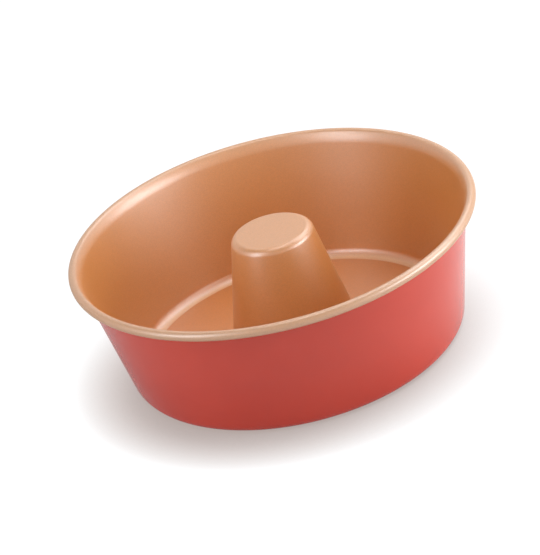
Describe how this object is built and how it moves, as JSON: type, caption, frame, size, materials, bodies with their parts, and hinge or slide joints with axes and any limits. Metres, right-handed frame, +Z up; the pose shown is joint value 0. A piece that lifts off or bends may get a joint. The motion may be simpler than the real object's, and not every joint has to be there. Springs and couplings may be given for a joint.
{
  "type": "tube pan",
  "caption": "Round baking pan with sloping sides, a curled rim and a tapered closed centre tube, copper-coloured non-stick inside and red outside.",
  "frame": {"origin": "on the table under the middle of the pan, level with its standing ring", "axes": "+Z up along the axis of the pan and its tube, towards the open rim; the pan is round, so +X and +Y are free"},
  "size_m": [0.24, 0.24, 0.0785],
  "materials": {
    "red_lacquered_sheet": "satin red lacquer on drawn aluminium sheet",
    "copper_body_lining": "satin copper-coloured non-stick with a fine metallic fleck",
    "red_lacquered_tube": "satin red lacquer on drawn aluminium sheet",
    "copper_tube_lining": "satin copper-coloured non-stick with a fine metallic fleck"
  },
  "bodies": {
    "root": {"pan_body": "red_lacquered_sheet", "body_lining": "copper_body_lining", "center_tube": "red_lacquered_tube", "tube_lining": "copper_tube_lining"}
  },
  "joints": []
}
